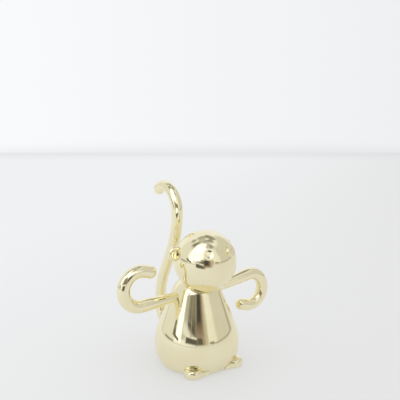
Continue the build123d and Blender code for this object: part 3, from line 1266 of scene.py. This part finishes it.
@dataclass(frozen=True)
class PhotoCamera:
    """Camera at the photograph's viewing angle."""

    place: Triple = (-0.1486, -0.2253, 0.1240)
    pitch: float = math.radians(80.2)
    heading: float = math.radians(33.72)
    lens: float = 54.0
    sensor: float = 36.0
    clip: Span = (0.01, 20.0)

    def build(self) -> None:
        """Adds the camera and makes it the scene's."""
        data = bpy.data.cameras.new("photo_camera")
        data.lens, data.sensor_width = self.lens, self.sensor
        data.clip_start, data.clip_end = self.clip
        camera = bpy.data.objects.new("photo_camera", data)
        bpy.context.scene.collection.objects.link(camera)
        camera.location = self.place
        camera.rotation_euler = (self.pitch, 0.0, -self.heading)
        bpy.context.scene.camera = camera


@dataclass(frozen=True)
class TableTop:
    """Plain pale table that the figure stands on."""

    heading: float
    half_width: float = 1.2
    front: float = -1.0
    back: float = 1.07

    def build(self) -> None:
        """Adds the table, square to the camera."""
        clear_selection()
        turn = Matrix.Rotation(-self.heading, 4, "Z")
        bpy.ops.mesh.primitive_plane_add(size=1.0)
        table = bpy.context.active_object
        table.name = "table_top"
        shift = Matrix.Translation((0.0, (self.front + self.back) / 2, 0.0))
        size = Matrix.Diagonal((2 * self.half_width, self.back - self.front, 1.0, 1.0))
        table.matrix_world = turn @ shift @ size
        apply_place()
        table.data.materials.append(PaleTable().make(self.heading))


@dataclass(frozen=True)
class SoftPatch:
    """A soft-edged patch of light or shade, from left to right and from low to high.

    Slant is how much it sinks for each step to the right.
    """

    left: float
    right: float
    low: float
    high: float
    light: Colour
    edge: float
    slant: float = 0.0

    def mask(self, board: NodeBoard, across: Socket, height: Socket) -> Socket:
        """Adds the nodes that give 1 inside the patch and 0 outside it.

        Args:
            board: The nodes to add to.
            across: Place from left to right.
            height: Place from low to high.

        Returns:
            The mask.
        """
        half = self.edge / 2
        level = board.math("MULTIPLY_ADD", across, self.slant, height)
        bands = []
        for place, start, end in ((across, self.left, self.right), (level, self.low, self.high)):
            rise = board.spread(place, (start - half, start + half))
            fall = board.spread(place, (end - half, end + half), 1.0, 0.0)
            bands.append(board.math("MULTIPLY", rise, fall))
        return board.math("MULTIPLY", *bands)


FRONT_PATCHES = (
    SoftPatch(-0.112, -0.050, 0.054, 0.132, (0.48, 0.48, 0.44), 0.030, 0.25),
    SoftPatch(-0.070, 0.003, 0.056, 0.132, (0.25, 0.24, 0.20), 0.026, 0.25),
    SoftPatch(-0.072, 0.003, 0.021, 0.074, (0.12, 0.115, 0.10), 0.014, 0.12),
    SoftPatch(-0.112, -0.001, 0.045, 0.056, (0.85, 0.86, 0.87), 0.009, 0.25),
    SoftPatch(-0.040, -0.035, 0.058, 0.130, (0.40, 0.31, 0.25), 0.006),
)
NEAR_PATCHES = (
    SoftPatch(-0.0035, 0.0380, 0.041, 0.098, (0.52, 0.49, 0.40), 0.014),
    SoftPatch(-0.0035, 0.0280, 0.041, 0.098, (0.32, 0.24, 0.19), 0.012),
    SoftPatch(-0.0035, 0.0200, 0.050, 0.098, (0.07, 0.065, 0.06), 0.012),
)
PALE_PATCHES = (
    SoftPatch(-0.0290, -0.0050, 0.0600, 0.0805, (1.40, 1.45, 1.55), 0.0070),
    SoftPatch(-0.0075, 0.0025, 0.0635, 0.0805, (1.25, 1.28, 1.35), 0.0060),
    SoftPatch(0.0000, 0.0280, 0.0635, 0.0805, (0.94, 0.94, 0.93), 0.0060),
)
SIDE_PATCHES = (
    SoftPatch(-0.060, 0.115, 0.100, 0.146, (0.18, 0.17, 0.13), 0.016, 0.35),
)


@dataclass(frozen=True)
class StudioFlag:
    """Dark or pale upright card before the figure, which only the polished metal shows.

    Its patches are in metres, across the card from the figure's axis and up from the table. Turn
    is from the camera's side of the figure.
    """

    name: str
    turn: float
    distance: float
    patches: tuple[SoftPatch, ...]
    half_width: float = 0.16
    height: float = 0.16

    def build(self, heading: float) -> None:
        """Adds the card, upright and square to the figure.

        Args:
            heading: The camera's heading.
        """
        clear_selection()
        bpy.ops.mesh.primitive_plane_add(size=2.0)
        card = bpy.context.active_object
        card.name = self.name
        card.scale = (self.half_width, self.height, 1.0)
        bpy.ops.object.transform_apply(location=False, rotation=False, scale=True)
        turn = Matrix.Rotation(self.turn - heading, 4, "Z")
        upright = Matrix.Rotation(QUARTER, 4, "X")
        card.matrix_world = turn @ Matrix.Translation((0.0, -self.distance, 0.0)) @ upright
        card.visible_camera = card.visible_diffuse = False
        card.visible_shadow = card.visible_transmission = False
        card.data.materials.append(self.make_cloth())

    def make_cloth(self) -> Material:
        """Builds the card's material, which is clear outside its patches.

        Returns:
            The material.
        """
        material, board, place = new_material(self.name)
        across, height, _ = board.add("SeparateXYZ", {0: place}).outputs
        colour: object = self.patches[0].light
        cover: object = 0.0
        for patch in self.patches:
            mask = patch.mask(board, across, height)
            colour = board.mix(mask, colour, patch.light)
            cover = board.math("MAXIMUM", cover, mask)
        light = board.add("Emission", {"Color": colour})
        board.show(board.blend(cover, board.add("BsdfTransparent"), light))
        return material


STUDIO_FLAGS = (
    StudioFlag("front_flag", 0.0, 0.127, FRONT_PATCHES),
    StudioFlag("near_flag", 0.0, 0.080, NEAR_PATCHES),
    StudioFlag("pale_flag", 0.0, 0.045, PALE_PATCHES),
    StudioFlag("side_flag", math.radians(-65.0), 0.450, SIDE_PATCHES),
)


@dataclass(frozen=True)
class Studio:
    """Pale room with soft windows and dark gaps, which the polished metal shows.

    Its patches are in degrees as the figure sees them. Compass 0 is towards the camera and grows
    to the picture's right.
    """

    heading: float
    soft_light: Colour = (1.0, 1.0, 1.0)
    wall: Colour = (0.900, 0.915, 0.930)
    # painted shade on the wall that the camera sees: darker towards the picture's right and at its foot
    wall_falloff_shade: float = -0.147
    wall_foot: float = 0.90
    wall_foot_shade_span: Span = (-5.5, -4.0)
    room: Colour = (0.93, 0.94, 0.96)
    patches: tuple[SoftPatch, ...] = (
        # walls on the left and right
        SoftPatch(-125, -66, -5, 50, (0.80, 0.81, 0.80), 14),
        SoftPatch(20, 150, -5, 56, (0.67, 0.66, 0.63), 16),
        SoftPatch(30, 58, -5, 26, (0.86, 0.85, 0.83), 12),
        SoftPatch(6, 52, 22, 56, (0.94, 0.94, 0.93), 16),
        # ceiling
        SoftPatch(-400, 400, 80, 100, (0.48, 0.48, 0.47), 6),
        SoftPatch(-400, -66, 70, 82, (0.56, 0.56, 0.53), 6),
        SoftPatch(84, 138, 71, 84, (0.31, 0.30, 0.27), 8),
        SoftPatch(86, 125, 66, 84, (0.36, 0.35, 0.32), 12),
        # large window, which narrows upwards, and its dim right border
        SoftPatch(-64, 5, 23, 68, (1.45, 1.50, 1.62), 8),
        SoftPatch(-50, 5, 60, 74, (1.45, 1.50, 1.62), 8),
        SoftPatch(-38, 12, 70, 80, (1.25, 1.28, 1.35), 8),
        SoftPatch(24, 84, 73, 81, (0.62, 0.62, 0.61), 12),
        SoftPatch(18, 57, 65, 76, (0.50, 0.50, 0.48), 12),
        # small window on the left, with its shaded jamb
        SoftPatch(-73, -58, 18, 38, (1.02, 1.05, 1.08), 6),
        SoftPatch(-63, -45, 6, 40, (1.40, 1.45, 1.55), 6),
        SoftPatch(-46, -33, 12, 26, (0.56, 0.56, 0.52), 8),
        # dark beams under the ceiling
        SoftPatch(28, 62, 56, 70, (0.36, 0.35, 0.32), 11),
        SoftPatch(2, 34, 62, 70, (0.56, 0.56, 0.54), 6),
        SoftPatch(-94, -68, 50, 74, (0.27, 0.26, 0.22), 12),
        SoftPatch(-128, -104, 50, 64, (0.42, 0.41, 0.37), 10),
        SoftPatch(-400, -128, 61, 74, (0.45, 0.44, 0.41), 8),
        SoftPatch(122, 400, 56, 73, (0.33, 0.32, 0.28), 8),
        # dark gap with a brown and an olive border
        SoftPatch(-3, 18, 3, 23, (0.13, 0.115, 0.09), 6),
        SoftPatch(17, 25, 3, 23, (0.40, 0.31, 0.25), 6),
        SoftPatch(25, 33, 2, 23, (0.58, 0.56, 0.46), 6),
        # dark lines over the skirting, and the skirting all round
        SoftPatch(-98, -67, 1.2, 4, (0.20, 0.18, 0.14), 2.5),
        SoftPatch(36, 48, 3, 7.5, (0.30, 0.28, 0.24), 3),
        SoftPatch(40, 130, 1.5, 4.2, (0.40, 0.37, 0.32), 3),
        SoftPatch(-400, 400, -100, 1.5, (0.70, 0.70, 0.69), 1.5),
    )

    def build(self) -> None:
        """Fills the scene's world with the room."""
        world = bpy.data.worlds.new("studio")
        bpy.context.scene.world = world
        world.use_nodes = True
        board = NodeBoard(world.node_tree)
        compass, height, across = self.directions(board)
        colour: object = self.room
        for patch in self.patches:
            colour = board.mix(patch.mask(board, compass, height), colour, patch.light)
        path = board.add("LightPath").outputs
        seen = board.mix(path["Is Glossy Ray"], self.soft_light, colour)
        # painted shade on the wall behind the table, for the camera alone: darker towards the picture's
        # right and just above the table's far edge
        fall = board.math("MULTIPLY_ADD", across, self.wall_falloff_shade, 1.0)
        shade = board.math("MULTIPLY", fall, board.spread(height, self.wall_foot_shade_span, self.wall_foot))
        wall = board.add("VectorMath", {0: self.wall, "Scale": shade}, operation="SCALE").outputs[0]
        shown = board.mix(path["Is Camera Ray"], seen, wall)
        light = board.add("Background", {"Color": shown, "Strength": 1.0})
        board.add("OutputWorld", {"Surface": light.outputs[0]})

    def directions(self, board: NodeBoard) -> tuple[Socket, ...]:
        """Adds the nodes that say where a ray goes.

        Args:
            board: The world's nodes.

        Returns:
            Compass and height in degrees, and the share towards the picture's right.
        """
        ray = board.add("TexCoord").outputs["Generated"]
        turned = board.add("VectorRotate", {"Vector": ray, "Angle": self.heading}, rotation_type="Z_AXIS")
        split = board.add("SeparateXYZ", {0: turned.outputs[0]}).outputs
        towards = board.math("MULTIPLY", split[1], -1.0)
        compass = board.math("DEGREES", board.math("ARCTAN2", split[0], towards))
        height = board.math("DEGREES", board.math("ARCSINE", split[2]))
        return compass, height, split[0]


def main() -> None:
    """Builds the stage and the figure, and reports each piece."""
    logging.basicConfig(level=logging.INFO, format="%(message)s")
    bpy.context.scene.view_settings.view_transform = "Standard"
    camera = PhotoCamera()
    camera.build()
    TableTop(camera.heading).build()
    for flag in STUDIO_FLAGS:
        flag.build(camera.heading)
    Studio(camera.heading).build()

    gold = PolishedGold().make()
    bell = BellProfile()
    seat = HeadSeat(bell)
    head = Head(seat)
    bell_cutter = bell.make_cutter()
    head_cutter = head.make_cutter()

    dress(BodyShell(seat).build(), gold, "body_shell")
    dress(head.build_ball(), gold, "head_shell")
    for side in Side:
        dress(head.build_eye(side), gold, f"{side.label}_eye")
        dress(head.build_ear(side, head_cutter), gold, f"{side.label}_ear")
        dress(Foot(side, bell).build(bell_cutter), gold, f"{side.label}_foot")
    for arm in (
        Arm(Side.RIGHT, Curl.UP, bell, hook_reach=0.0200, hook_rise=0.0070),
        Arm(Side.LEFT, Curl.DOWN, bell, hook_reach=0.0213, hook_rise=-0.0041),
    ):
        dress(arm.build(bell_cutter), gold, f"{arm.side.label}_arm")
    dress(Tail(bell).build(bell_cutter), gold, "tail")
    felt = BasePad().build()
    dress(felt, BlackFelt().make(), "base_pad")
    Hardware().dress()
    for cutter in (bell_cutter, head_cutter):
        bpy.data.meshes.remove(cutter.data)


if __name__ == "__main__":
    main()
